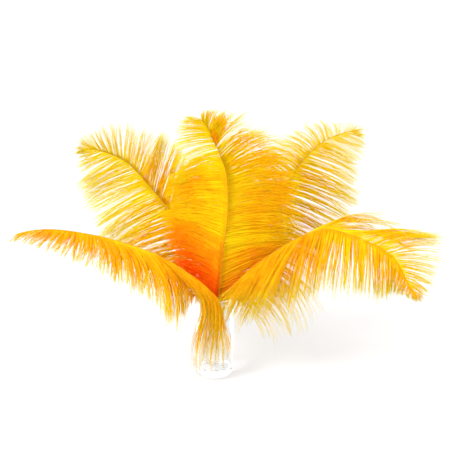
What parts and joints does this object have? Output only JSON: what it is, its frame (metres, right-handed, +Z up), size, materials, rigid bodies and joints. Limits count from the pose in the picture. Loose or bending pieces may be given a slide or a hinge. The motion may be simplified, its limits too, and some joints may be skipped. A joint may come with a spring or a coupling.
{
  "type": "ostrich feather",
  "caption": "Fluffy dyed ostrich plumes fanned out in a small clear glass tumbler vase, arching to both sides, as a table decoration",
  "frame": {"origin": "centre of the vase's flat foot, on the surface it stands on", "axes": "+Z up along the vase's axis, +X to the right and -Y toward the viewer who sees the middle feather's front"},
  "size_m": [0.4844, 0.1463, 0.3357],
  "materials": {
    "glass": "gloss",
    "dyed_feather": "matte"
  },
  "bodies": {
    "root": {"vase": "glass", "feather_center": "dyed_feather", "feather_back_left": "dyed_feather", "feather_back_right": "dyed_feather", "feather_front_left": "dyed_feather", "feather_front_right": "dyed_feather"}
  },
  "joints": []
}
